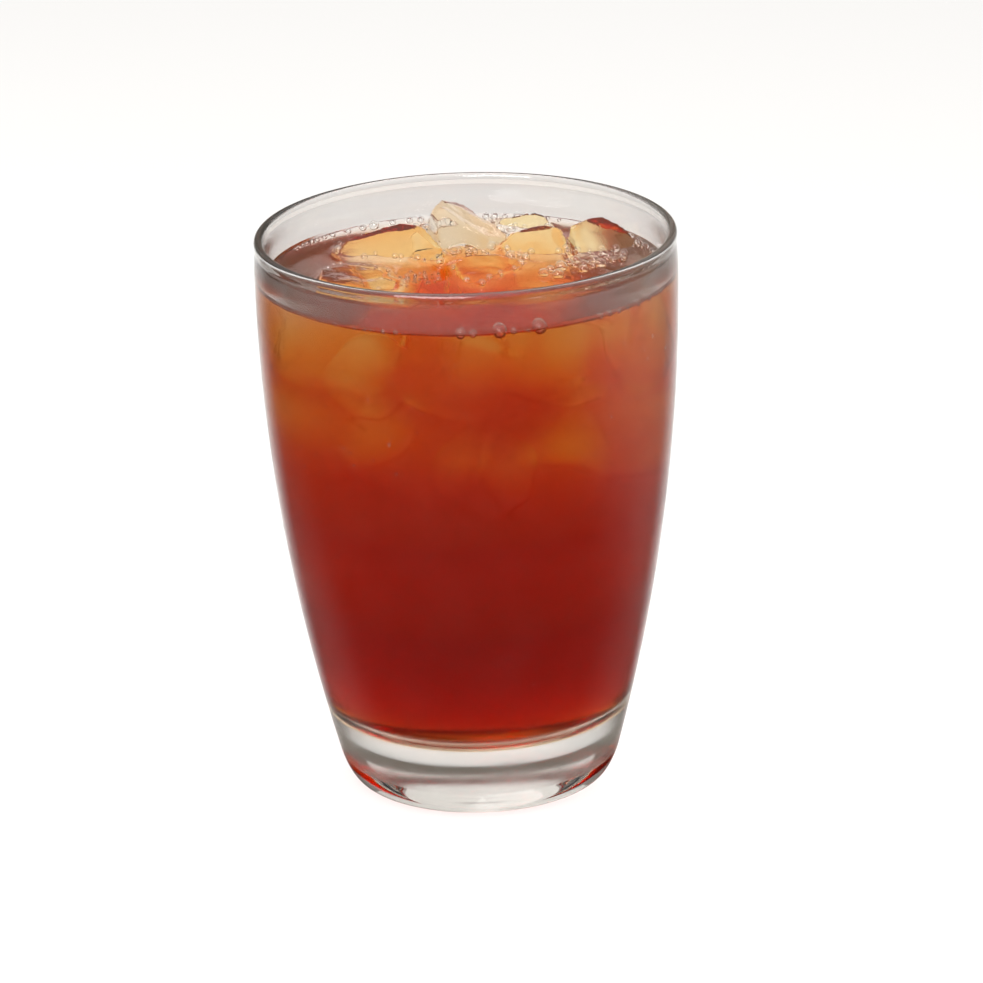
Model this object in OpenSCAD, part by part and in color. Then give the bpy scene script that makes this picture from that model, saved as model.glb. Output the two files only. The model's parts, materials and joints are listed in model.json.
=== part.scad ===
// A tumbler of iced tea: a thick-based glass, the tea up to its level, and the
// lumps of ice that stand out of the tea. Millimetres, +Z up, and the origin is
// the middle of the ring that the glass stands on.

/* [Glass outside] */
// Height from the table to the top of the lip
glass_h = 112; // [90:0.5:136]
// Outside radius at the widest place
belly_r = 41.15; // [34:0.05:50]
// Height of the widest place
belly_z = 104; // [84:0.5:126]
// Outside radius at the table, before the edge is rounded
foot_r = 26.4; // [21:0.1:32]
// How far the rounded bottom edge comes in
heel_w = 1.9; // [1:0.1:3]
// How far up the rounded bottom edge reaches
heel_h = 6; // [4:0.1:8]
// Radius of the hollow under the base
punt_r = 19; // [14:0.1:23]
// Depth of the hollow under the base
punt_h = 1.6; // [0.5:0.1:3]

/* [Glass inside] */
// Thickness of the wall at the lip, which is fully rounded
lip_t = 1.8; // [1.2:0.1:2.6]
// Thickness that the wall grows to just above the table
low_wall_t = 3.8; // [3:0.1:5]
// Thickness of the base in the middle
floor_t = 12.3; // [8:0.1:16]
// Height over which the inside bottom curves up into the wall
bowl_h = 9; // [6:0.5:14]
// Squareness of that curve: 2 is an ellipse, more is squarer
bowl_square = 3; // [2:0.1:5]

/* [Tea] */
// Free height between the tea and the top of the lip
head_space = 9.1; // [6:0.1:16]
// How far the edge of the tea climbs up the wall
meniscus_h = 1.2; // [0.5:0.1:2]
// Width of the edge that climbs
meniscus_w = 1.6; // [0.8:0.1:3]

/* [Ice] */
// Edge of a whole ice cube
ice_size = 22; // [16:0.5:28]
// Narrowest gap between two lumps, and between a lump and the wall
ice_gap = 0.8; // [0.4:0.1:2]
// How far melting has rounded the cubes: 1 leaves sharp corners
melt = 0.86; // [0.78:0.01:0.95]
// Radius of the hollow that a cube maker leaves in one lump
dimple_r = 4.2; // [2:0.1:6]

/* [Hidden] */
ROUND = 96;
PROFILE_STEPS = 20;
ARC_STEPS = 8;
OVER = 1;

// Each lump: centre as a share of the tea's radius [right, back], how far its
// centre lies under the level, its three edges as shares of ice_size, and how it is
// turned in degrees [about X, about Y, about Z].
LUMPS = [
    [[-0.36, 0.46], 8.6, [0.88, 0.86, 0.90], [14, -10, 16]],
    [[0.01, 0.62], 5.7, [1.00, 0.76, 0.84], [-9, 27, -14]],
    [[0.18, 0.06], 9.2, [0.90, 0.86, 0.86], [6, 5, 12]],
    [[0.38, 0.42], 8.2, [0.58, 0.90, 0.84], [16, -8, 4]],
    [[0.68, 0.47], 7.8, [0.84, 0.66, 0.86], [16, 22, -30]],
    [[-0.51, -0.04], 8.8, [0.92, 0.74, 0.86], [-4, 8, -6]],
    [[0.32, 0.84], 5.8, [0.50, 0.42, 0.60], [10, -8, 6]]
];
// The lump with the hollow, and which way the hollow faces [right, back, up]
DIMPLED = 1;
DIMPLE_FACING = [-0.15, -0.86, 0.30];

lip_z = glass_h - lip_t / 2;
bowl_top = floor_t + bowl_h;
tea_z = glass_h - head_space;
tea_edge_z = tea_z + meniscus_h;

// Heights spaced evenly from low to high
function heights(low, high, steps) = [for (i = [0:steps]) low + (high - low) * i / steps];

// Radius of the outside at height z: a parabola about the widest place
function outer_r(z) = belly_r - (belly_r - foot_r) * pow(1 - z / belly_z, 2);

// Thickness of the wall at height z: thin at the lip and quickly thicker below it
function wall_t(z) = lip_t + (low_wall_t - lip_t) * sqrt(max(0, 1 - z / lip_z));

// The straight stretches that the inside wall is made of, as [height, radius]
WALL = [for (z = heights(bowl_top, lip_z, PROFILE_STEPS)) [z, outer_r(z) - wall_t(z)]];

// Radius of the inside wall at height z, on those stretches
function inner_r(z) = lookup(z, WALL);

// The rounded bottom edge, from the table up
function heel_points() = [
    for (i = [0:ARC_STEPS])
        let (a = 90 * i / ARC_STEPS)
            [outer_r(heel_h * (1 - cos(a))) - heel_w * (1 - sin(a)), heel_h * (1 - cos(a))]
];

// The hollow under the base, from the middle out
function punt_points() = [
    for (i = [0:ARC_STEPS])
        let (share = i / ARC_STEPS)
            [punt_r * share, punt_h * (1 - share * share)]
];

// The full round of the lip, from outside to inside
function lip_points() = [
    for (i = [1:2 * ARC_STEPS - 1])
        let (a = 90 * i / ARC_STEPS, middle = outer_r(lip_z) - lip_t / 2)
            [middle + lip_t / 2 * cos(a), lip_z + lip_t / 2 * sin(a)]
];

// The inside bottom from the middle to the wall, drawn in by inset
function bowl_points(inset) = [
    for (i = [0:ARC_STEPS * 2])
        let (a = 45 * i / ARC_STEPS,
             z = floor_t + bowl_h * (1 - pow(cos(a), 2 / bowl_square)))
            [(outer_r(z) - wall_t(z) - inset) * pow(sin(a), 2 / bowl_square), z + inset * cos(a)]
];

// The inside wall from the top of the bowl up to height top, drawn in by inset
function wall_points(top, inset) = [
    for (stop = WALL)
        if (stop[0] > bowl_top && stop[0] < top)
            [stop[1] - inset, stop[0]],
    [inner_r(top) - inset, top]
];

// From the wall in: where the tea's surface meets the wall it curves up
function meniscus_points() = [
    for (i = [1:ARC_STEPS])
        let (a = 90 * i / ARC_STEPS)
            [inner_r(tea_edge_z) - meniscus_w * (1 - cos(a)), tea_edge_z - meniscus_h * sin(a)]
];

function backwards(list) = [for (i = [len(list) - 1:-1:0]) list[i]];

module glass() {
    outside = [for (z = heights(heel_h, lip_z, PROFILE_STEPS)) if (z > heel_h) [outer_r(z), z]];
    color([0.86, 0.88, 0.86, 0.35])
        rotate_extrude($fn = ROUND)
            polygon(concat(
                punt_points(),
                heel_points(),
                outside,
                lip_points(),
                backwards(wall_points(lip_z, 0)),
                backwards(bowl_points(0))
            ));
}

// The space inside the glass up to height top, drawn in by inset
module inside(top, inset) {
    rotate_extrude($fn = ROUND)
        polygon(concat(bowl_points(inset), wall_points(top, inset), [[0, top]]));
}

// Plan centre of lump i
function lump_place(i) = inner_r(tea_z) * LUMPS[i][0];

// A half space beyond the line midway between the lumps i and j
module beyond(i, j) {
    step = lump_place(j) - lump_place(i);
    reach = 2 * glass_h;
    translate([lump_place(i).x + step.x / 2, lump_place(i).y + step.y / 2, 0])
        rotate([0, 0, atan2(step.y, step.x)])
            translate([-ice_gap / 2, -reach / 2, 0])
                cube([reach, reach, reach]);
}

// A melting ice cube, kept clear of its neighbours and of the wall
module lump(i) {
    edges = ice_size * LUMPS[i][2];
    centre = [lump_place(i).x, lump_place(i).y, tea_z - LUMPS[i][1]];
    difference() {
        intersection() {
            translate(centre)
                rotate(LUMPS[i][3])
                    intersection() {
                        cube(edges, center = true);
                        sphere(r = melt * norm(edges) / 2, $fn = ROUND);
                    }
            inside(glass_h + OVER, ice_gap);
        }
        for (j = [0:len(LUMPS) - 1])
            if (j != i)
                beyond(i, j);
        if (i == DIMPLED)
            translate(centre + DIMPLE_FACING / norm(DIMPLE_FACING) * edges.y / 2)
                sphere(r = dimple_r, $fn = ROUND);
    }
}

module ice(i) {
    color([0.90, 0.93, 0.93, 0.5]) lump(i);
}

module tea() {
    color([0.55, 0.13, 0.03])
        difference() {
            rotate_extrude($fn = ROUND)
                polygon(concat(
                    bowl_points(0),
                    wall_points(tea_edge_z, 0),
                    meniscus_points(),
                    [[0, tea_z]]
                ));
            for (i = [0:len(LUMPS) - 1])
                lump(i);
        }
}

glass();
tea();
ice(0);  // ice_1
ice(1);  // ice_2
ice(2);  // ice_3
ice(3);  // ice_4
ice(4);  // ice_5
ice(5);  // ice_6
ice(6);  // ice_7
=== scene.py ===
"""Looks of a glass tumbler of iced tea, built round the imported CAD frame. Lengths are in metres."""

import json
import math
import random

import bmesh
import bpy
import numpy as np
from mathutils import Euler, Matrix, Vector, kdtree, noise

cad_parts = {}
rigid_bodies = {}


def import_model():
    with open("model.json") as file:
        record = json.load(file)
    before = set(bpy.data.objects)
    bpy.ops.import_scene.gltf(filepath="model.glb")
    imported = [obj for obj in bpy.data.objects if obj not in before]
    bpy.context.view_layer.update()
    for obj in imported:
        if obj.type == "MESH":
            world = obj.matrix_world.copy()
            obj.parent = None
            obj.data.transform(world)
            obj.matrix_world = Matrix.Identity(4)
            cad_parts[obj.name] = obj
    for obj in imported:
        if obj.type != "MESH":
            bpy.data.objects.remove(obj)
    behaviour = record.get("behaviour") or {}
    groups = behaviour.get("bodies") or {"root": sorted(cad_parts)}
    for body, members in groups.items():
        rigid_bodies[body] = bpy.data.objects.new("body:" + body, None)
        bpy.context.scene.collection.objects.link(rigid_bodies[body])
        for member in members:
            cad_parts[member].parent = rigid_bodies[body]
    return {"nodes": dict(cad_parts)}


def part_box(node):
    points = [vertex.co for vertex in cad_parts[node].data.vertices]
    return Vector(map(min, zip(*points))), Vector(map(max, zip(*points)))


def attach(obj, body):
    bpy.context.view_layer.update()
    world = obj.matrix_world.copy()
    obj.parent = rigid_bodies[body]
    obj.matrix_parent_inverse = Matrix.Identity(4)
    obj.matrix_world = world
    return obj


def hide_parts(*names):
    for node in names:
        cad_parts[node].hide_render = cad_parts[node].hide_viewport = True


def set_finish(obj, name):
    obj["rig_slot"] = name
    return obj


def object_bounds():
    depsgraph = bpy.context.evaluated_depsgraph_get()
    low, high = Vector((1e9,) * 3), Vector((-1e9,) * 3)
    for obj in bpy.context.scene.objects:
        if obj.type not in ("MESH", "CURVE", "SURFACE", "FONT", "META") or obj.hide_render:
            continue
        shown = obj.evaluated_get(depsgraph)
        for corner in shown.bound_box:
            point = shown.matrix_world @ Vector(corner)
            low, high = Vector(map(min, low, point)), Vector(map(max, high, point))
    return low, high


MM = 0.001
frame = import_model()
cad_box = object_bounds()
scene = bpy.context.scene

# ---------------------------------------------------------------- glass: sizes and looks
TURNS = 192                # facets round the glass and the tea
LIP_STEP = 0.6 * MM        # longest step along the glass's outline
BEAD_START = 0.9 * MM      # the lip is a faint bead: from here down the wall gets thinner
BEAD_H = 1.7 * MM          # over this height
BEAD_EASE = 3              # and thickens again over this many times that height
BEAD_OUT = 0.12 * MM       # how much is taken off the outside
BEAD_IN = 0.28 * MM        # and off the inside
LIP_CLEAR = 3 * MM         # bands at the lip and the foot that stay free of mist
FOOT_CLEAR = 5 * MM

GLASS_TINT = (0.72, 0.705, 0.69, 1)
GLASS_BODY = (0.1, 0.16, 0.05, 1)    # what it lets through of the light on its way
GLASS_DENSITY = 3.0
GLASS_IOR = 1.5
GLASS_ROUGH = 0.12         # where the roughness can't vary over the surface
MIST_ROUGH = (0.1, 0.24)   # least and most roughness of the misted faces
HAZE_LEAST = 0.001
# Where the mist scatters more: whether both sides count alike, the way in which it
# thickens, from and to how far that way in metres, and how much it scatters in the end
HAZES = [
    (False, (1.0, 0.0, 0.15), (0.030, 0.058), 0.10),
    (True, (1.0, 0.0, 3.0), (0.330, 0.365), 0.07),
    (True, (1.0, 0.0, -0.25), (0.012, 0.030), 0.06),
]

# Attributes of the faces
MIST = "mist"              # 1 where condensation dulls the glass
BEND = "bend"              # how much light bends there, inside against outside

# ---------------------------------------------------------------- tea: sizes and looks
TEA_IOR = 1.333
INTO_WALL = 0.12 * MM      # how far the tea reaches into the glass, so that no air shows
WALL_CLIMB_W = 0.85 * MM   # how far from the wall the tea's surface starts to climb
WALL_CLIMB_MEAN = 0.75     # share of its full height that the climb has on the average
WALL_CLIMB_WANDER = 0.5    # how much that share wanders round the wall
WALL_CLIMB_WAVES = 7       # and how finely
ICE_CLIMB = 0.55 * MM      # how high the tea climbs the ice
ICE_CLIMB_W = 0.8 * MM     # how far from the ice that starts
RIPPLE = 0.05 * MM         # height and width of the ripples on the open surface
RIPPLE_W = 9 * MM
RIM_W, RIM_RINGS = 3 * MM, 12    # next to the wall the surface has finer rings
OPEN_STEP = 0.5 * MM       # step between the rings elsewhere
LET_THROUGH = (0.93, 0.59, 0.0, 1)   # nearly all of the red, some green and no blue
# painted light: the colour that the tea's volume glows in, standing in for light scattered by its
# fine cloud
PAINTED_GLOW = (1.0, 0.36, 0.05, 1)
# The tea is weaker where the ice melts into it: from where down under the level, in mm,
# how strongly it absorbs and how strong its painted glow is, which stands in for light scattered by
# its fine cloud
LAYERS = [(-20, 102, 3.8), (12, 134, 2.9), (27, 178, 2.1), (44, 232, 1.5), (64, 310, 1.1)]
LAYERS_END = 150
LAYER_GAP = 0.02 * MM

# ---------------------------------------------------------------- ice: sizes and looks
ICE_IOR = 1.31
ICE_GRAIN = 0.55 * MM      # voxel that the melted lumps are made with
FILM = 0.03 * MM           # gap between a lump of ice and the hollow it sits in
ICE_GOLDEN = (0.96, 0.76, 0.30, 1)
ICE_PALE = (0.94, 0.92, 0.84, 1)
FOAMY = "ice_2"            # the lump at the back, which is pale with foam
SQUARENESS = 5.0           # of a sunk lump: 2 is an egg, more is squarer
# Sunk lumps: centre as a share of the tea's radius [right, back], depth of the centre
# under the level and edges in mm, and turn in degrees
SUNK = [
    ((-0.06, -0.52), 10.8, (19, 15, 17), (12, 20, 25)),
    ((0.38, -0.42), 10.6, (18, 16, 16), (-10, 12, -18)),
    ((-0.44, -0.60), 11.0, (14, 12, 15), (30, 10, 50)),
    ((0.72, -0.16), 11.5, (12, 16, 17), (8, -14, 10)),
    ((-0.20, 0.10), 32.0, (19, 18, 17), (14, 32, 8)),
    ((0.30, -0.20), 33.0, (18, 17, 19), (36, -12, 30)),
    ((0.05, -0.60), 30.0, (15, 13, 16), (20, 24, -30)),
    ((0.45, 0.40), 33.0, (19, 17, 16), (-20, 30, 12)),
    ((-0.45, 0.50), 31.0, (17, 18, 16), (25, -20, 40)),
    ((-0.76, 0.30), 10.5, (11, 16, 15), (6, 12, 30)),
]

# ---------------------------------------------------------------- bubbles and droplets
BUBBLE_SEED = 11
# Along the wall: from and to in degrees from +X towards the back, how many, and the
# smallest and largest radius in mm
WALL_ROWS = [
    (125, 152, 26, 0.35, 0.6), (96, 124, 20, 0.6, 1.0), (60, 84, 22, 0.4, 0.75),
    (8, 48, 60, 0.35, 0.8), (267, 274, 10, 0.5, 1.1), (277, 291, 30, 0.4, 1.4),
    (308, 338, 30, 0.3, 0.8), (224, 252, 16, 0.2, 0.5),
]
# Rafts on the open tea: centre as a share of the tea's radius [right, back], spread in
# mm, how many, and the radii in mm
RAFTS = [
    ((-0.25, -0.02), 4.2, 90, 0.22, 0.5), ((0.44, 0.00), 3.0, 12, 0.8, 1.4),
    ((0.58, 0.10), 4.0, 26, 0.5, 1.1), ((0.74, 0.22), 5.0, 50, 0.4, 0.9),
    ((0.27, 0.28), 3.0, 26, 0.4, 0.9), ((-0.18, 0.86), 3.4, 26, 0.5, 0.9),
    ((0.04, 0.42), 4.0, 40, 0.3, 0.9), ((0.10, 0.90), 5.0, 30, 0.4, 0.9),
]
# Along the waterline of a lump: which lump, how many, and the radii in mm
SHORES = [
    (1, 26, 0.3, 0.8), (2, 40, 0.35, 0.95), (3, 16, 0.3, 0.7), (4, 26, 0.35, 0.9),
    (5, 30, 0.35, 0.9), (6, 14, 0.2, 0.5), (7, 16, 0.3, 0.7),
]
FROM_WALL = (1.08, 1.5)    # how far from the wall a bubble's centre is, against its radius
FILM_SHARE = 0.08          # thickness of a bubble's skin against its radius
SPARE_SHARE = 0.02         # room between two bubbles' skins against their radii
RISE_SHARE = 0.45          # how far a bubble's centre stands above the tea
# Up to which radius a ball is made with which detail
BALL_DETAIL = ((0.45 * MM, 1), (0.85 * MM, 2), (9 * MM, 3))

DEW_SEED = 23
# Where condensation has gathered: from and to in degrees from +X towards the back,
# heights in mm, how many, and radii in mm
DEW = [
    ((215, 250), (72, 82), 8, 0.15, 0.35), ((310, 345), (78, 98), 9, 0.15, 0.35),
    ((180, 360), (25, 98), 60, 0.08, 0.2), ((0, 180), (25, 98), 80, 0.08, 0.3),
]
DEW_FLATNESS = 0.35
DEW_LONG = 1.25            # length of a droplet against its width
DEW_LONG_SPREAD = (0.9, 1.4)     # and the least and most that it is multiplied by
DEW_DETAIL = 2

# ---------------------------------------------------------------- studio
FLOOR_SIZE = 8
FLOOR_DROP = 0.05 * MM     # so that the floor and the foot don't share a plane
FLOOR_PALE = (0.83, 0.83, 0.83, 1)
# painted shadow: a red-brown colour on the floor under the foot, as if cast through the tea
FLOOR_PAINTED_SHADOW = (0.42, 0.27, 0.21, 1)
PAINTED_SHADOW_REACH = 0.03          # the floor has a painted shadow under the foot
PAINTED_SHADOW_FADE = (0.45, 0.85)   # and fades to pale between these shares of that reach
KEY_PLACE, KEY_SIZE, KEY_POWER = (-0.3, -0.8, 0.75), 0.7, 14
SKY_HORIZON = (0.29, 0.26, 0.225, 1)
SKY_TOP = (1.5, 1.49, 1.47, 1)
SKY_FROM = 0.3             # the sky is as at the horizon up to here, as the sine of the height
SKY_STRENGTH = 0.94
SIDE_LIGHT = 0.15          # how much the light from both sides counts as light from above
FLAG_NEAR = 0.03           # how far in front of the axis the black card's middle is
FLAG_UP = 0.2 * MM
FLAG_REACH = 3.0           # radius of the black card
FLAG_FADE = (0.65, 1.0)    # it fades out to the back: 0 is square to the side, 1 straight back
CARD_BEHIND = 0.30         # how far behind the axis the pale card stands
CARD_LOW, CARD_HIGH, CARD_W = 0.05, 0.165, 0.5
CARD_PALE = (0.86, 0.85, 0.83, 1)
CAMERA_REACH = 1.025       # from the glass's middle
CAMERA_UP = 19.95          # degrees above the level
CAMERA_ROLL = 1.72         # degrees
CAMERA_LENS = 190.07       # mm
CAMERA_SENSOR = 36         # mm
CAMERA_SHIFT = (0.01857, 0.01098)
LIGHT_BOUNCES = 32


# ---------------------------------------------------------------- mesh helpers
def new_object(name, verts, faces, smooth=True):
    mesh = bpy.data.meshes.new(name)
    mesh.from_pydata([tuple(v) for v in verts], [], [tuple(f) for f in faces])
    mesh.update()
    mesh.polygons.foreach_set("use_smooth", [smooth] * len(mesh.polygons))
    obj = bpy.data.objects.new(name, mesh)
    scene.collection.objects.link(obj)
    return obj


def points_of(mesh):
    co = np.zeros(len(mesh.vertices) * 3)
    mesh.vertices.foreach_get("co", co)
    return co.reshape(-1, 3)


def settle(obj):
    """Applies obj's modifiers to its mesh."""
    graph = bpy.context.evaluated_depsgraph_get()
    mesh = bpy.data.meshes.new_from_object(obj.evaluated_get(graph), depsgraph=graph)
    obj.modifiers.clear()
    old, obj.data = obj.data, mesh
    bpy.data.meshes.remove(old)
    mesh.name = obj.name
    return obj


def outline_of(node, same=0.03 * MM):
    """The outline that a round CAD node was turned from: (radius, height), from the axis
    below to the axis above."""
    mesh = frame["nodes"][node].data
    co = points_of(mesh)
    flat = np.stack([np.hypot(co[:, 0], co[:, 1]), co[:, 2]], axis=1)
    rings, ring_of_key, ring_of = [], {}, []
    for p in flat:
        key = (round(p[0] / MM, 2), round(p[1] / MM, 2))
        if key not in ring_of_key:
            near = [i for i, q in enumerate(rings) if np.hypot(*(p - q)) < same]
            ring_of_key[key] = near[0] if near else len(rings)
            if not near:
                rings.append(p)
        ring_of.append(ring_of_key[key])
    beside = {i: set() for i in range(len(rings))}
    for edge in mesh.edges:
        a, b = (ring_of[v] for v in edge.vertices)
        if a != b:
            beside[a].add(b)
            beside[b].add(a)
    at = min((i for i, p in enumerate(rings) if p[0] < same), key=lambda i: rings[i][1])
    path, seen = [rings[at]], {at}
    while True:
        ahead = [i for i in beside[at] if i not in seen]
        if not ahead:
            return np.array(path)
        at = min(ahead, key=lambda i: np.hypot(*(rings[i] - rings[at])))
        seen.update(ahead)
        path.append(rings[at])


def fair(points, step):
    """Points no further apart than step on a smooth curve through the given ones."""
    ends = [2 * points[0] - points[1], *points, 2 * points[-1] - points[-2]]
    out = []
    for a, b, c, d in zip(ends, ends[1:], ends[2:], ends[3:]):
        count = max(1, math.ceil(np.hypot(*(c - b)) / step))
        for k in range(count):
            t = k / count
            out.append(0.5 * (2 * b + (c - a) * t + (2 * a - 5 * b + 4 * c - d) * t ** 2
                              + (3 * b - a - 3 * c + d) * t ** 3))
    out.append(points[-1])
    low = min(z for r, z in points)
    return np.maximum(np.array(out), (0, low))


def turned(name, outline, lift=None):
    """A solid turned about the axis from an outline that starts and ends on it.
    lift(x, y, z) may give a point another height."""
    verts, rows = [], []
    for i, (r, z) in enumerate(outline):
        if i in (0, len(outline) - 1):
            rows.append([len(verts)] * TURNS)
            verts.append((0, 0, z if lift is None else lift(0, 0, z)))
            continue
        rows.append(list(range(len(verts), len(verts) + TURNS)))
        for k in range(TURNS):
            x, y = r * math.cos(math.tau * k / TURNS), r * math.sin(math.tau * k / TURNS)
            verts.append((x, y, z if lift is None else lift(x, y, z)))
    faces = []
    for low, high in zip(rows, rows[1:]):
        for k in range(TURNS):
            ring = (low[k], low[k - 1], high[k - 1], high[k])
            faces.append(tuple(dict.fromkeys(ring)))
    obj = new_object(name, verts, faces)
    bm = bmesh.new()
    bm.from_mesh(obj.data)
    bmesh.ops.recalc_face_normals(bm, faces=bm.faces)
    bm.to_mesh(obj.data)
    bm.free()
    return obj


# ---------------------------------------------------------------- materials
def principled(name, **values):
    material = bpy.data.materials.new(name)
    material.use_nodes = True
    shader = material.node_tree.nodes["Principled BSDF"]
    for socket, value in values.items():
        shader.inputs[socket.replace("_", " ")].default_value = value
    return material, material.node_tree, shader


def noise_bump(tree, shader, scale, strength, distance, detail=3.0):
    """Fine unevenness of the surface, in the object's own coordinates."""
    where = tree.nodes.new("ShaderNodeTexCoord")
    waves = tree.nodes.new("ShaderNodeTexNoise")
    waves.inputs["Scale"].default_value = scale
    waves.inputs["Detail"].default_value = detail
    bump = tree.nodes.new("ShaderNodeBump")
    bump.inputs["Strength"].default_value = strength
    bump.inputs["Distance"].default_value = distance
    tree.links.new(where.outputs["Object"], waves.inputs["Vector"])
    tree.links.new(waves.outputs["Fac"], bump.inputs["Height"])
    tree.links.new(bump.outputs["Normal"], shader.inputs["Normal"])
    return waves


def uneven(tree, scale, low, high, detail=4.0):
    """A value that wanders between low and high."""
    where = tree.nodes.new("ShaderNodeTexCoord")
    waves = tree.nodes.new("ShaderNodeTexNoise")
    waves.inputs["Scale"].default_value = scale
    waves.inputs["Detail"].default_value = detail
    span = tree.nodes.new("ShaderNodeMapRange")
    span.inputs["From Min"].default_value = 0.3
    span.inputs["From Max"].default_value = 0.7
    span.inputs["To Min"].default_value = low
    span.inputs["To Max"].default_value = high
    tree.links.new(where.outputs["Object"], waves.inputs["Vector"])
    tree.links.new(waves.outputs["Fac"], span.inputs["Value"])
    return span.outputs["Result"]


def bend_by_face(tree, shader):
    """Wall and drink touch, so a face between them bends light by the two together, and
    not as against air."""
    bend = tree.nodes.new("ShaderNodeAttribute")
    bend.attribute_name = BEND
    tree.links.new(bend.outputs["Fac"], shader.inputs["IOR"])


def mark(mesh, name, values):
    """Gives each face of mesh its value of the attribute name."""
    layer = mesh.attributes.get(name) or mesh.attributes.new(name, "FLOAT", "FACE")
    layer.data.foreach_set("value", values)


def glass_material():
    """Clear glass, a little grey where it is thick, with a breath of condensation on the
    faces marked as misted."""
    material, tree, shader = principled(
        "glass", Base_Color=GLASS_TINT, Roughness=GLASS_ROUGH, IOR=GLASS_IOR,
        Transmission_Weight=1.0)
    mist = tree.nodes.new("ShaderNodeAttribute")
    mist.attribute_name = MIST
    rough = tree.nodes.new("ShaderNodeMath")
    rough.operation = "MULTIPLY"
    tree.links.new(mist.outputs["Fac"], rough.inputs[0])
    tree.links.new(uneven(tree, 90, *MIST_ROUGH), rough.inputs[1])
    tree.links.new(rough.outputs["Value"], shader.inputs["Roughness"])
    noise_bump(tree, shader, 200, 0.06, 0.1 * MM)
    bend_by_face(tree, shader)
    clear = tree.nodes.new("ShaderNodeMath")
    clear.operation = "MULTIPLY_ADD"
    clear.inputs[2].default_value = 1.0
    thick = tree.nodes.new("ShaderNodeMath")
    thick.operation = "MULTIPLY"
    thick.inputs[1].default_value = -1.0
    tree.links.new(mist.outputs["Fac"], thick.inputs[0])
    tree.links.new(thick.outputs["Value"], clear.inputs[0])
    tree.links.new(haze(tree), clear.inputs[1])
    tree.links.new(clear.outputs["Value"], shader.inputs["Transmission Weight"])
    volume = tree.nodes.new("ShaderNodeVolumeAbsorption")
    volume.inputs["Color"].default_value = GLASS_BODY
    volume.inputs["Density"].default_value = GLASS_DENSITY
    tree.links.new(volume.outputs["Volume"], tree.nodes["Material Output"].inputs["Volume"])
    return material


def haze(tree):
    """How much the mist scatters: most at the right, and on both sides close under the lip
    and low down."""
    where = tree.nodes.new("ShaderNodeTexCoord")
    both = tree.nodes.new("ShaderNodeVectorMath")
    both.operation = "ABSOLUTE"
    tree.links.new(where.outputs["Object"], both.inputs[0])
    parts = []
    for alike, way, (start, stop), most in HAZES:
        place = both.outputs["Vector"] if alike else where.outputs["Object"]
        towards = tree.nodes.new("ShaderNodeVectorMath")
        towards.operation = "DOT_PRODUCT"
        towards.inputs[1].default_value = way
        span = tree.nodes.new("ShaderNodeMapRange")
        span.interpolation_type = "SMOOTHSTEP"
        span.inputs["From Min"].default_value = start
        span.inputs["From Max"].default_value = stop
        span.inputs["To Min"].default_value = HAZE_LEAST
        span.inputs["To Max"].default_value = most
        tree.links.new(place, towards.inputs[0])
        tree.links.new(towards.outputs["Value"], span.inputs["Value"])
        parts.append(span.outputs["Result"])
    total = parts[0]
    for part in parts[1:]:
        together = tree.nodes.new("ShaderNodeMath")
        together.operation = "ADD"
        tree.links.new(total, together.inputs[0])
        tree.links.new(part, together.inputs[1])
        total = together.outputs["Value"]
    return total


def absorbing(tree, density, painted_glow):
    """What the tea swallows of light that passes through, and a painted glow that stands in for the
    light its fine cloud scatters.
    """
    volume = tree.nodes.new("ShaderNodeVolumeAbsorption")
    volume.inputs["Color"].default_value = LET_THROUGH
    volume.inputs["Density"].default_value = density
    # painted light: the volume emits, standing in for light that the tea's fine cloud scatters
    painted_light = tree.nodes.new("ShaderNodeEmission")
    painted_light.inputs["Color"].default_value = PAINTED_GLOW
    painted_light.inputs["Strength"].default_value = painted_glow
    both = tree.nodes.new("ShaderNodeAddShader")
    tree.links.new(volume.outputs["Volume"], both.inputs[0])
    tree.links.new(painted_light.outputs["Emission"], both.inputs[1])
    tree.links.new(both.outputs["Shader"], tree.nodes["Material Output"].inputs["Volume"])


def tea_material(name, density, painted_glow):
    material, tree, shader = principled(
        name, Base_Color=(1, 1, 1, 1), Roughness=0.0, IOR=TEA_IOR, Transmission_Weight=1.0)
    bend_by_face(tree, shader)
    absorbing(tree, density, painted_glow)
    return material


def ice_material(name, colour):
    material, tree, shader = principled(
        name, Base_Color=colour, Roughness=0.03, IOR=ICE_IOR, Transmission_Weight=1.0)
    noise_bump(tree, shader, 250, 0.25, 0.3 * MM)
    return material


def sunk_ice_material():
    """Ice below the surface. The hollow in the tea bends the light for both, so the lump
    itself bends next to none."""
    return principled(
        "ice_wet", Base_Color=(1, 1, 1, 1), Roughness=0.0, IOR=1.0001, Transmission_Weight=1.0)[0]


def floor_material():
    """Pale, with a painted shadow under the foot: dusky, where the tea takes the light away."""
    material, tree, shader = principled(
        "floor_pale_painted_shadow", Base_Color=FLOOR_PALE, Roughness=0.9)
    shader.inputs["Specular IOR Level"].default_value = 0.1
    noise_bump(tree, shader, 40, 0.03, 1 * MM)
    where = tree.nodes.new("ShaderNodeTexCoord")
    reach = tree.nodes.new("ShaderNodeVectorMath")
    reach.operation = "LENGTH"
    ramp = tree.nodes.new("ShaderNodeValToRGB")
    span = tree.nodes.new("ShaderNodeMapRange")
    span.inputs["From Max"].default_value = PAINTED_SHADOW_REACH
    shade, pale = ramp.color_ramp.elements
    shade.position, shade.color = PAINTED_SHADOW_FADE[0], FLOOR_PAINTED_SHADOW
    pale.position, pale.color = PAINTED_SHADOW_FADE[1], FLOOR_PALE
    tree.links.new(where.outputs["Object"], reach.inputs[0])
    tree.links.new(reach.outputs["Value"], span.inputs["Value"])
    tree.links.new(span.outputs["Result"], ramp.inputs["Fac"])
    tree.links.new(ramp.outputs["Color"], shader.inputs["Base Color"])
    return material


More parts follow.
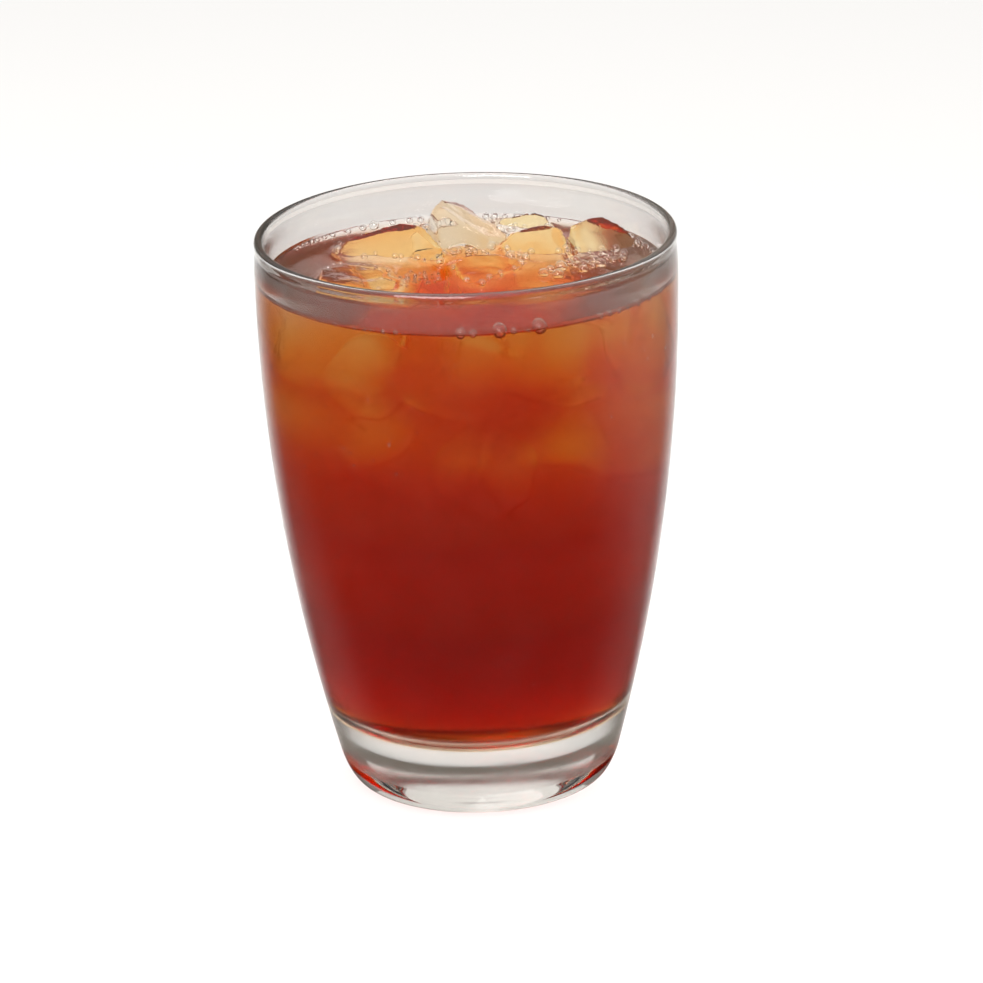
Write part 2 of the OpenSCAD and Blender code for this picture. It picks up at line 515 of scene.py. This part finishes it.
# ---------------------------------------------------------------- the glass
def beaded(outline):
    """Thins the wall just below the lip, so that the lip stands out as a bead and bends
    light as one."""
    outline = outline.copy()
    top = int(np.argmax(outline[:, 1]))
    for i, (r, z) in enumerate(outline):
        below = (outline[top, 1] - BEAD_START - z) / BEAD_H
        if 0 < below < 1:
            dip = math.sin(math.pi / 2 * below) ** 2
        elif 1 <= below < 1 + BEAD_EASE:
            dip = math.cos(math.pi / 2 * (below - 1) / BEAD_EASE) ** 2
        else:
            continue
        outline[i, 0] += -BEAD_OUT * dip if i < top else BEAD_IN * dip
    return outline


glass_outline = beaded(fair(outline_of("glass"), LIP_STEP))
lip_at = int(np.argmax(glass_outline[:, 1]))
glass = turned("tumbler", glass_outline)
glass.data.materials.append(glass_material())
glass_low, glass_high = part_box("glass")


def misted(face):
    """The outside of the wall is misted between its clear bands."""
    c = face.center
    outward = face.normal.x * c.x + face.normal.y * c.y > 0
    return 1.0 if outward and glass_low.z + FOOT_CLEAR < c.z < glass_high.z - LIP_CLEAR else 0.0


mark(glass.data, MIST, [misted(face) for face in glass.data.polygons])
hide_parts("glass")
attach(glass, "root")
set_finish(glass, "glass")


# ---------------------------------------------------------------- the ice that stands out of the tea
def roughen(obj, size, depth, seed):
    """Moves the points of obj in and out by smooth noise."""
    mesh = obj.data
    shift = Vector((seed * 1.7, seed * 0.9, seed * 2.3))
    normals = [v.normal.copy() for v in mesh.vertices]
    for v, n in zip(mesh.vertices, normals):
        v.co += n * depth * (noise.noise(v.co / size + shift) - 0.15)
    mesh.update()


def melted(node, number):
    """A lump of ice with the CAD solid's shape, its edges melted and its faces dimpled."""
    lump = bpy.data.objects.new("lump_%d" % number, frame["nodes"][node].data.copy())
    scene.collection.objects.link(lump)
    lump.data.materials.clear()
    remesh = lump.modifiers.new("grain", "REMESH")
    remesh.mode = "VOXEL"
    remesh.voxel_size = ICE_GRAIN
    remesh.use_smooth_shade = True
    ease = lump.modifiers.new("ease", "SMOOTH")
    ease.factor = 0.5
    ease.iterations = 3
    settle(lump)
    roughen(lump, 7 * MM, 0.7 * MM, number)
    roughen(lump, 2.5 * MM, 0.15 * MM, number + 20)
    return lump


ice_nodes = sorted(n for n in frame["nodes"] if n.startswith("ice_"))
lumps = [melted(node, i + 1) for i, node in enumerate(ice_nodes)]


# ---------------------------------------------------------------- the tea
def tea_level():
    """Height of the flat of the CAD tea's surface."""
    mesh = frame["nodes"]["tea"].data
    low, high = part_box("tea")
    flat = [(p.area, p.center.z) for p in mesh.polygons
            if p.normal.z > 0.999 and p.center.z > (low.z + high.z) / 2]
    return sum(a * z for a, z in flat) / sum(a for a, z in flat)


LEVEL = tea_level()
tea_low, tea_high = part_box("tea")
TEA_R = tea_high.x
WALL_CLIMB = tea_high.z - LEVEL


def glass_bend(face):
    """The inside of the wall is wet up to the edge of the tea, and dry above."""
    c, n = face.center, face.normal
    wall = n.x * c.x + n.y * c.y < 0
    bottom = n.z > 0.5 and c.xy.length <= TEA_R * 0.98
    wet = tea_low.z - 1 * MM < c.z < tea_high.z and (wall or bottom)
    return GLASS_IOR / TEA_IOR if wet else GLASS_IOR


mark(glass.data, BEND, [glass_bend(face) for face in glass.data.polygons])


def waterline(lump):
    """Points where a lump's surface crosses the tea's level."""
    mesh = lump.data
    out = []
    for edge in mesh.edges:
        a, b = (mesh.vertices[v].co for v in edge.vertices)
        if (a.z - LEVEL) * (b.z - LEVEL) < 0:
            out.append(a.lerp(b, (LEVEL - a.z) / (b.z - a.z)))
    return out


shores = [waterline(lump) for lump in lumps]
shore_tree = kdtree.KDTree(sum(len(s) for s in shores))
for i, p in enumerate(p for shore in shores for p in shore):
    shore_tree.insert(p, i)
shore_tree.balance()


def surface(x, y):
    """Height of the tea's surface: it climbs the wall and the ice, and is never quite flat."""
    from_wall = max(0.0, TEA_R - math.hypot(x, y))
    from_ice = shore_tree.find((x, y, LEVEL))[2]
    turn = math.atan2(y, x)
    wander = noise.noise(Vector((math.cos(turn), math.sin(turn), 0)) * WALL_CLIMB_WAVES)
    share = min(1.0, WALL_CLIMB_MEAN + WALL_CLIMB_WANDER * wander)
    rise = WALL_CLIMB * share * math.exp(-from_wall / WALL_CLIMB_W)
    rise += ICE_CLIMB * math.exp(-from_ice / ICE_CLIMB_W)
    rise += RIPPLE * noise.noise(Vector((x, y, 0)) / RIPPLE_W)
    return LEVEL + rise


def make_tea():
    """The whole body of tea: the glass's inside, let into the wall, under the surface."""
    inner = glass_outline[lip_at:][::-1]
    sides = [p for p in inner if p[1] < tea_high.z]
    steps = np.diff(np.array(sides), axis=0)
    steps = np.vstack([steps, steps[-1:]])
    outward = np.stack([steps[:, 1], -steps[:, 0]], axis=1)
    outward /= np.linalg.norm(outward, axis=1)[:, None]
    sides = np.array(sides) + outward * INTO_WALL
    sides[0, 0] = 0
    edge_r = sides[-1, 0]
    rim = edge_r - np.linspace(0, RIM_W, RIM_RINGS)[1:]
    open_top = np.arange(edge_r - RIM_W - OPEN_STEP, 0, -OPEN_STEP)
    outline = [tuple(p) for p in sides]
    outline += [(r, LEVEL) for r in np.concatenate([rim, open_top, [0]])]

    def lift(x, y, z):
        on_top = z == LEVEL and math.hypot(x, y) < edge_r - 1e-7
        return surface(x, y) if on_top else z

    return turned("tea_body", outline, lift)


tea = make_tea()


# ---------------------------------------------------------------- the ice that is wholly under
def cube_lump(name, centre, edges, turn, seed):
    """A melted cube: a rounded box with dimpled faces."""
    bm = bmesh.new()
    bmesh.ops.create_icosphere(bm, subdivisions=5, radius=1)
    half = [e / 2 for e in edges]
    rotate = Euler([math.radians(a) for a in turn]).to_matrix()
    for v in bm.verts:
        d = v.co.normalized()
        reach = sum(abs(d[i] / half[i]) ** SQUARENESS for i in range(3)) ** (-1 / SQUARENESS)
        v.co = rotate @ (d * reach) + Vector(centre)
    mesh = bpy.data.meshes.new(name)
    bm.to_mesh(mesh)
    bm.free()
    mesh.polygons.foreach_set("use_smooth", [True] * len(mesh.polygons))
    obj = bpy.data.objects.new(name, mesh)
    scene.collection.objects.link(obj)
    roughen(obj, 9 * MM, 1.0 * MM, seed)
    roughen(obj, 3 * MM, 0.12 * MM, seed + 40)
    return obj


sunk = []
for i, (place, depth, edges, turn) in enumerate(SUNK):
    centre = (place[0] * TEA_R, place[1] * TEA_R, LEVEL - depth * MM)
    sunk.append(cube_lump("sunk_ice_%d" % (i + 1), centre, [e * MM for e in edges], turn, i + 1))


# ---------------------------------------------------------------- bubbles and foam
def bubble_spots():
    """(x, y, radius) of each bubble; none overlap."""
    draw = random.Random(BUBBLE_SEED)
    spots = []
    room = 1 + SPARE_SHARE + FILM_SHARE

    def try_spot(x, y, r):
        if math.hypot(x, y) > TEA_R - r * room:
            return
        if all(math.hypot(x - a, y - b) > room * (r + c) for a, b, c in spots):
            spots.append((x, y, r))

    for start, stop, count, small, large in WALL_ROWS:
        for _ in range(count):
            r = draw.uniform(small, large) * MM
            turn = math.radians(draw.uniform(start, stop))
            reach = TEA_R - r * draw.uniform(*FROM_WALL)
            try_spot(reach * math.cos(turn), reach * math.sin(turn), r)
    for (right, back), spread, count, small, large in RAFTS:
        for _ in range(count):
            r = draw.uniform(small, large) * MM
            try_spot(right * TEA_R + draw.gauss(0, spread * MM / 2),
                     back * TEA_R + draw.gauss(0, spread * MM / 2), r)
    for lump, count, small, large in SHORES:
        shore = shores[lump - 1]
        for _ in range(count):
            r = draw.uniform(small, large) * MM
            p = draw.choice(shore)
            try_spot(p.x + draw.gauss(0, r), p.y + draw.gauss(0, r), r)
    return spots


def ball_points(detail):
    """Points and faces of a ball of radius 1."""
    bm = bmesh.new()
    bmesh.ops.create_icosphere(bm, subdivisions=detail, radius=1)
    verts = np.array([v.co[:] for v in bm.verts])
    faces = [[v.index for v in f.verts] for f in bm.faces]
    bm.free()
    return verts, faces


def tea_bend(face):
    """Only the open surface bends light: the sides lie in the wall, whose own face does it
    for both."""
    open_top = face.normal.z > 0 and face.center.z > LEVEL - 1 * MM
    return TEA_IOR if open_top and face.center.xy.length < TEA_R + INTO_WALL / 2 else 1.0


def balls(name, spots, share):
    """One mesh of balls, each share times its bubble's radius."""
    verts, faces = [], []
    for x, y, r in spots:
        ball, sides = ball_points(next(detail for most, detail in BALL_DETAIL if r < most))
        centre = np.array([x, y, surface(x, y) + RISE_SHARE * r])
        base = len(verts)
        verts.extend(ball * r * share + centre)
        faces.extend([base + k for k in f] for f in sides)
    return new_object(name, verts, faces)


def combine(body, cutter, operation, bend):
    """Joins the cutter to the body, cuts it out or keeps what both hold. The faces that
    come from the cutter bend light by bend."""
    mark(cutter.data, BEND, [bend] * len(cutter.data.polygons))
    cut = body.modifiers.new("cut", "BOOLEAN")
    cut.operation = operation
    cut.solver = "MANIFOLD"
    cut.object = cutter
    bpy.context.view_layer.update()
    settle(body)
    bpy.data.objects.remove(cutter)


def copy_of(obj, name):
    twin = bpy.data.objects.new(name, obj.data.copy())
    scene.collection.objects.link(twin)
    return twin


def layer(number, top, bottom, density, painted_glow):
    """The slice of the tea between top and bottom, in mm under the level."""
    reach = glass_high.x
    low, high = LEVEL - bottom * MM + LAYER_GAP, LEVEL - top * MM
    slab = new_object(
        "slab",
        [(x, y, z) for x in (-reach, reach) for y in (-reach, reach) for z in (low, high)],
        [(0, 1, 3, 2), (4, 6, 7, 5), (0, 4, 5, 1), (2, 3, 7, 6), (0, 2, 6, 4), (1, 5, 7, 3)])
    part = copy_of(tea, "tea_layer_%d" % number)
    combine(part, slab, "INTERSECT", 1.0)
    part.data.materials.clear()
    part.data.materials.append(tea_material("tea_%d" % number, density, painted_glow))
    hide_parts("tea")
    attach(part, "root")
    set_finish(part, "tea")


mark(tea.data, BEND, [tea_bend(face) for face in tea.data.polygons])
bubbles = bubble_spots()
combine(tea, balls("films", bubbles, 1 + FILM_SHARE), "UNION", TEA_IOR)
combine(tea, balls("airs", bubbles, 1), "DIFFERENCE", TEA_IOR)
for lump in lumps + sunk:
    combine(tea, copy_of(lump, "cutter"), "DIFFERENCE", TEA_IOR / ICE_IOR)
bottoms = [top for top, density, painted_glow in LAYERS[1:]] + [LAYERS_END]
for number, ((top, density, painted_glow), bottom) in enumerate(zip(LAYERS, bottoms), 1):
    layer(number, top, bottom, density, painted_glow)
bpy.data.objects.remove(tea)


# ---------------------------------------------------------------- the ice's materials
GOLDEN = ice_material("ice_golden", ICE_GOLDEN)
PALE = ice_material("ice_pale", ICE_PALE)
WET = sunk_ice_material()


def finish_ice(lump, node=None):
    """Draws the lump in from its hollow by a hair, and gives it its dry and wet materials."""
    mesh = lump.data
    for v, n in [(v, v.normal.copy()) for v in mesh.vertices]:
        v.co -= n * FILM
    mesh.update()
    mesh.materials.clear()
    mesh.materials.append(PALE if node == FOAMY else GOLDEN)
    mesh.materials.append(WET)
    for face in mesh.polygons:
        c = face.center
        face.material_index = 0 if c.z > surface(c.x, c.y) - 0.1 * MM else 1
        face.use_smooth = True
    if node:
        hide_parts(node)
    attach(lump, "root")
    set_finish(lump, "ice")


for lump, node in zip(lumps, ice_nodes):
    finish_ice(lump, node)
for lump in sunk:
    finish_ice(lump)


# ---------------------------------------------------------------- droplets on the outside
def outside_at(z):
    """The glass's outer radius at height z, and how much it leans there."""
    outer = glass_outline[:lip_at]
    wall = outer[np.argmax(outer[:, 0] > glass_high.x * 0.62):]
    r = np.interp(z, wall[:, 1], wall[:, 0])
    return r, (np.interp(z + MM, wall[:, 1], wall[:, 0]) - r) / MM


def make_dew():
    """Flat droplets, a little longer downwards than across, half let into the wall."""
    draw = random.Random(DEW_SEED)
    verts, faces = [], []
    for (start, stop), (low, high), count, small, large in DEW:
        for _ in range(count):
            turn, z = math.radians(draw.uniform(start, stop)), draw.uniform(low, high) * MM
            size = draw.uniform(small, large) * MM
            reach, lean = outside_at(z)
            ball, sides = ball_points(DEW_DETAIL)
            across = Vector((-math.sin(turn), math.cos(turn), 0))
            out = Vector((math.cos(turn), math.sin(turn), -lean)).normalized()
            along = out.cross(across)
            length = DEW_LONG * draw.uniform(*DEW_LONG_SPREAD)
            axes = np.array([across, along * length, out * DEW_FLATNESS])
            base = len(verts)
            centre = np.array([reach * math.cos(turn), reach * math.sin(turn), z])
            verts.extend(ball * size @ axes + centre)
            faces.extend([base + k for k in f] for f in sides)
    dew = new_object("dew", verts, faces)
    material, tree, shader = principled(
        "dew", Base_Color=(1, 1, 1, 1), Roughness=0.0, IOR=TEA_IOR, Transmission_Weight=1.0)
    noise_bump(tree, shader, 300, 0.05, 0.1 * MM)
    dew.data.materials.append(material)
    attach(dew, "root")
    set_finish(dew, "glass")


make_dew()


# ---------------------------------------------------------------- floor, light and camera
def add_floor():
    bpy.ops.mesh.primitive_plane_add(size=FLOOR_SIZE, location=(0, 0, -FLOOR_DROP))
    floor = bpy.context.object
    floor.name = "floor"
    floor.data.materials.append(floor_material())


def add_key():
    """A soft light, high in front and to the left, aimed at the glass's middle."""
    light = bpy.data.lights.new("key", "AREA")
    light.shape = "SQUARE"
    light.size = KEY_SIZE
    light.energy = KEY_POWER
    obj = bpy.data.objects.new("key", light)
    scene.collection.objects.link(obj)
    obj.location = KEY_PLACE
    aim = Vector((0, 0, cad_box[1].z / 2)) - Vector(KEY_PLACE)
    obj.rotation_euler = aim.to_track_quat("-Z", "Y").to_euler()


def add_flag():
    """A black card on the floor that only reflections see, as a photographer's flag. It
    fades out towards the back."""
    bm = bmesh.new()
    bmesh.ops.create_circle(bm, cap_ends=True, segments=64, radius=FLAG_REACH)
    mesh = bpy.data.meshes.new("flag")
    bm.to_mesh(mesh)
    bm.free()
    flag = bpy.data.objects.new("flag", mesh)
    scene.collection.objects.link(flag)
    flag.location = (0, -FLAG_NEAR, FLAG_UP)
    material, tree, shader = principled("flag_black", Base_Color=(0.01, 0.01, 0.01, 1), Roughness=1.0)
    shader.inputs["Specular IOR Level"].default_value = 0
    where = tree.nodes.new("ShaderNodeTexCoord")
    unit = tree.nodes.new("ShaderNodeVectorMath")
    unit.operation = "NORMALIZE"
    split = tree.nodes.new("ShaderNodeSeparateXYZ")
    fade = tree.nodes.new("ShaderNodeMapRange")
    fade.interpolation_type = "SMOOTHSTEP"
    fade.inputs["From Min"].default_value = FLAG_FADE[1]
    fade.inputs["From Max"].default_value = FLAG_FADE[0]
    tree.links.new(where.outputs["Object"], unit.inputs[0])
    tree.links.new(unit.outputs["Vector"], split.inputs["Vector"])
    tree.links.new(split.outputs["Y"], fade.inputs["Value"])
    tree.links.new(fade.outputs["Result"], shader.inputs["Alpha"])
    mesh.materials.append(material)
    for seen_by in ("camera", "diffuse", "transmission", "shadow"):
        setattr(flag, "visible_" + seen_by, False)


def add_back_card():
    """A pale card behind the glass, lower than the tea's surface, which shows only through
    the glass and the tea."""
    verts = [(x, CARD_BEHIND, z) for x, z in (
        (-CARD_W / 2, CARD_LOW), (CARD_W / 2, CARD_LOW),
        (CARD_W / 2, CARD_HIGH), (-CARD_W / 2, CARD_HIGH))]
    card = new_object("back_card", verts, [(0, 1, 2, 3)], smooth=False)
    material, tree, shader = principled("card_pale", Base_Color=CARD_PALE, Roughness=0.9)
    noise_bump(tree, shader, 40, 0.03, 1 * MM)
    card.data.materials.append(material)
    for seen_by in ("camera", "diffuse", "glossy", "shadow"):
        setattr(card, "visible_" + seen_by, False)


def add_world():
    """A plain studio: bright overhead, and dim down to the horizon, less so at both sides."""
    world = bpy.data.worlds.new("studio")
    scene.world = world
    world.use_nodes = True
    tree = world.node_tree
    where = tree.nodes.new("ShaderNodeTexCoord")
    split = tree.nodes.new("ShaderNodeSeparateXYZ")
    ramp = tree.nodes.new("ShaderNodeValToRGB")
    low, high = ramp.color_ramp.elements
    low.position, low.color = SKY_FROM, SKY_HORIZON
    high.position, high.color = 1.0, SKY_TOP
    aside = tree.nodes.new("ShaderNodeMath")
    aside.operation = "MULTIPLY"
    level = tree.nodes.new("ShaderNodeMath")
    level.operation = "MULTIPLY_ADD"
    level.inputs[1].default_value = SIDE_LIGHT
    tree.links.new(where.outputs["Generated"], split.inputs["Vector"])
    tree.links.new(split.outputs["X"], aside.inputs[0])
    tree.links.new(split.outputs["X"], aside.inputs[1])
    tree.links.new(aside.outputs["Value"], level.inputs[0])
    tree.links.new(split.outputs["Z"], level.inputs[2])
    tree.links.new(level.outputs["Value"], ramp.inputs["Fac"])
    back = tree.nodes["Background"]
    tree.links.new(ramp.outputs["Color"], back.inputs["Color"])
    back.inputs["Strength"].default_value = SKY_STRENGTH


def add_camera():
    data = bpy.data.cameras.new("camera")
    data.lens = CAMERA_LENS
    data.sensor_width = CAMERA_SENSOR
    data.shift_x, data.shift_y = CAMERA_SHIFT
    data.clip_start = 0.05
    obj = bpy.data.objects.new("camera", data)
    scene.collection.objects.link(obj)
    up = math.radians(CAMERA_UP)
    target = Vector((0, 0, (cad_box[0].z + cad_box[1].z) / 2))
    obj.location = target + CAMERA_REACH * Vector((0, -math.cos(up), math.sin(up)))
    look = (target - obj.location).to_track_quat("-Z", "Y").to_matrix()
    obj.rotation_euler = (look @ Matrix.Rotation(math.radians(-CAMERA_ROLL), 3, "Z")).to_euler()
    scene.camera = obj


add_floor()
add_flag()
add_back_card()
add_key()
add_world()
add_camera()
scene.view_settings.view_transform = "Standard"
scene.cycles.max_bounces = LIGHT_BOUNCES
scene.cycles.transmission_bounces = LIGHT_BOUNCES
scene.cycles.transparent_max_bounces = LIGHT_BOUNCES

# The floor is lit right through the glass, the tea and the ice, so they cast no shadow; the shade
# under the foot is painted on the floor instead
for piece in scene.objects:
    if piece.type == "MESH" and piece.get("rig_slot") in ("glass", "tea", "ice"):
        piece.visible_shadow = False
